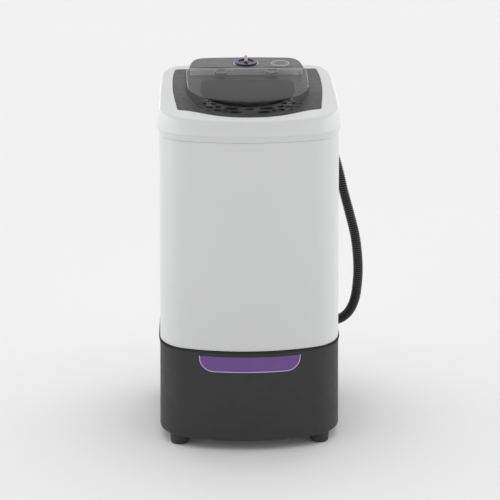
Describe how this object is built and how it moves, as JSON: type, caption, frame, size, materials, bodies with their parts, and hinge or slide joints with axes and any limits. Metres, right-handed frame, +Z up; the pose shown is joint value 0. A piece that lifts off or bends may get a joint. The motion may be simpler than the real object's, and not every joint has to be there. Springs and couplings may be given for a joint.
{
  "type": "laundry spin dryer",
  "caption": "Upright spin dryer with a soft-cornered cabinet on a dark base, smoked hinged lid, timer knob, perforated basket and side drain hose.",
  "frame": {"origin": "on the floor, at the centre of the footprint", "axes": "+Z up, the front with the label faces -Y, +X to the right seen from the front"},
  "size_m": [0.4435, 0.3879, 0.7493],
  "materials": {
    "base_dark": "satin",
    "cabinet_white": "satin",
    "deck_grey": "satin",
    "panel_grey": "satin",
    "lid_smoke": "gloss",
    "knob_purple": "gloss",
    "steel": "satin",
    "black_plastic": "satin",
    "tub_plastic": "satin",
    "basket_plastic": "satin",
    "zinc_sheet": "satin",
    "cast_grey": "matte",
    "rubber_black": "matte",
    "foot_rubber": "matte",
    "hose_black": "satin",
    "label_purple": "satin",
    "label_lilac": "satin"
  },
  "bodies": {
    "casing": {"base_housing": "base_dark", "outer_cabinet": "cabinet_white", "top_cover": "cabinet_white", "top_deck": "deck_grey", "hinge_bracket_right": "black_plastic", "hinge_bracket_left": "black_plastic", "hinge_pin_right": "steel", "hinge_pin_left": "steel", "control_panel": "panel_grey", "timer_module": "black_plastic", "lid_switch": "black_plastic", "tub_platform": "zinc_sheet", "outer_tub": "tub_plastic", "tub_ring": "tub_plastic", "shaft_seal": "rubber_black", "bearing_housing": "cast_grey", "upper_bearing": "steel", "lower_bearing": "steel", "motor_bracket": "zinc_sheet", "motor_housing": "cast_grey", "rubber_mount_1": "rubber_black", "mount_bolt_1": "zinc_sheet", "rubber_mount_2": "rubber_black", "mount_bolt_2": "zinc_sheet", "rubber_mount_3": "rubber_black", "mount_bolt_3": "zinc_sheet", "brake_bracket": "zinc_sheet", "brake_pin": "steel", "run_capacitor": "black_plastic", "drain_pipe": "rubber_black", "drain_elbow": "black_plastic", "drain_hose": "hose_black", "hose_nozzle": "black_plastic", "hose_holder": "black_plastic", "cord_gland": "rubber_black", "label_plate": "label_purple", "label_trim": "label_lilac", "cover_screw_left": "zinc_sheet", "cover_screw_right": "zinc_sheet", "foot_front_left": "foot_rubber", "foot_front_right": "foot_rubber", "foot_rear_left": "foot_rubber", "foot_rear_right": "foot_rubber", "foot_screw_front_left": "zinc_sheet", "foot_screw_front_right": "zinc_sheet", "foot_screw_rear_left": "zinc_sheet", "foot_screw_rear_right": "zinc_sheet"},
    "lid": {"lid": "lid_smoke"},
    "timer": {"timer_knob": "knob_purple", "timer_shaft": "steel"},
    "spinner": {"spin_basket": "basket_plastic", "basket_hub": "steel", "hub_nut": "zinc_sheet", "drive_shaft": "steel", "brake_drum": "cast_grey", "motor_rotor": "steel"},
    "brake_crank": {"brake_lever": "zinc_sheet", "brake_pad": "rubber_black"},
    "brake_link": {"brake_rod": "steel"},
    "switch_plunger": {"lid_switch_plunger": "tub_plastic"}
  },
  "joints": [
    {"name": "lid_hinge", "type": "hinge", "parent": "casing", "child": "lid", "pos_m": [0, 0.08829, 0.72326], "axis": [-1, 0, 0], "range_deg": [0, 97]},
    {"name": "timer_turn", "type": "hinge", "parent": "casing", "child": "timer", "pos_m": [0, 0.12693, 0.73696], "axis": [0, 0.1191, -0.9929], "range_deg": [0, 300]},
    {"name": "basket_spin", "type": "hinge", "parent": "casing", "child": "spinner", "pos_m": [0, 0, 0.25], "axis": [0, 0, 1], "continuous": true},
    {"name": "brake_crank_turn", "type": "hinge", "parent": "casing", "child": "brake_crank", "pos_m": [-0.04384, 0.04384, 0.162], "axis": [0.7071, 0.7071, 0], "range_deg": [0, 5]},
    {"name": "brake_rod_slide", "type": "slide", "parent": "casing", "child": "brake_link", "axis": [0, 0, 1], "range_m": [0, 0.0096]},
    {"name": "lid_switch_travel", "type": "slide", "parent": "casing", "child": "switch_plunger", "axis": [0, -0.1191, 0.9929], "range_m": [0, 0.0036]}
  ],
  "couplings": [
    {"joint": "brake_crank_turn", "follows": "lid_hinge", "ratio": 0.0515},
    {"joint": "brake_rod_slide", "follows": "lid_hinge", "m_per_rad": 0.00566},
    {"joint": "lid_switch_travel", "follows": "lid_hinge", "m_per_rad": 0.0021}
  ]
}
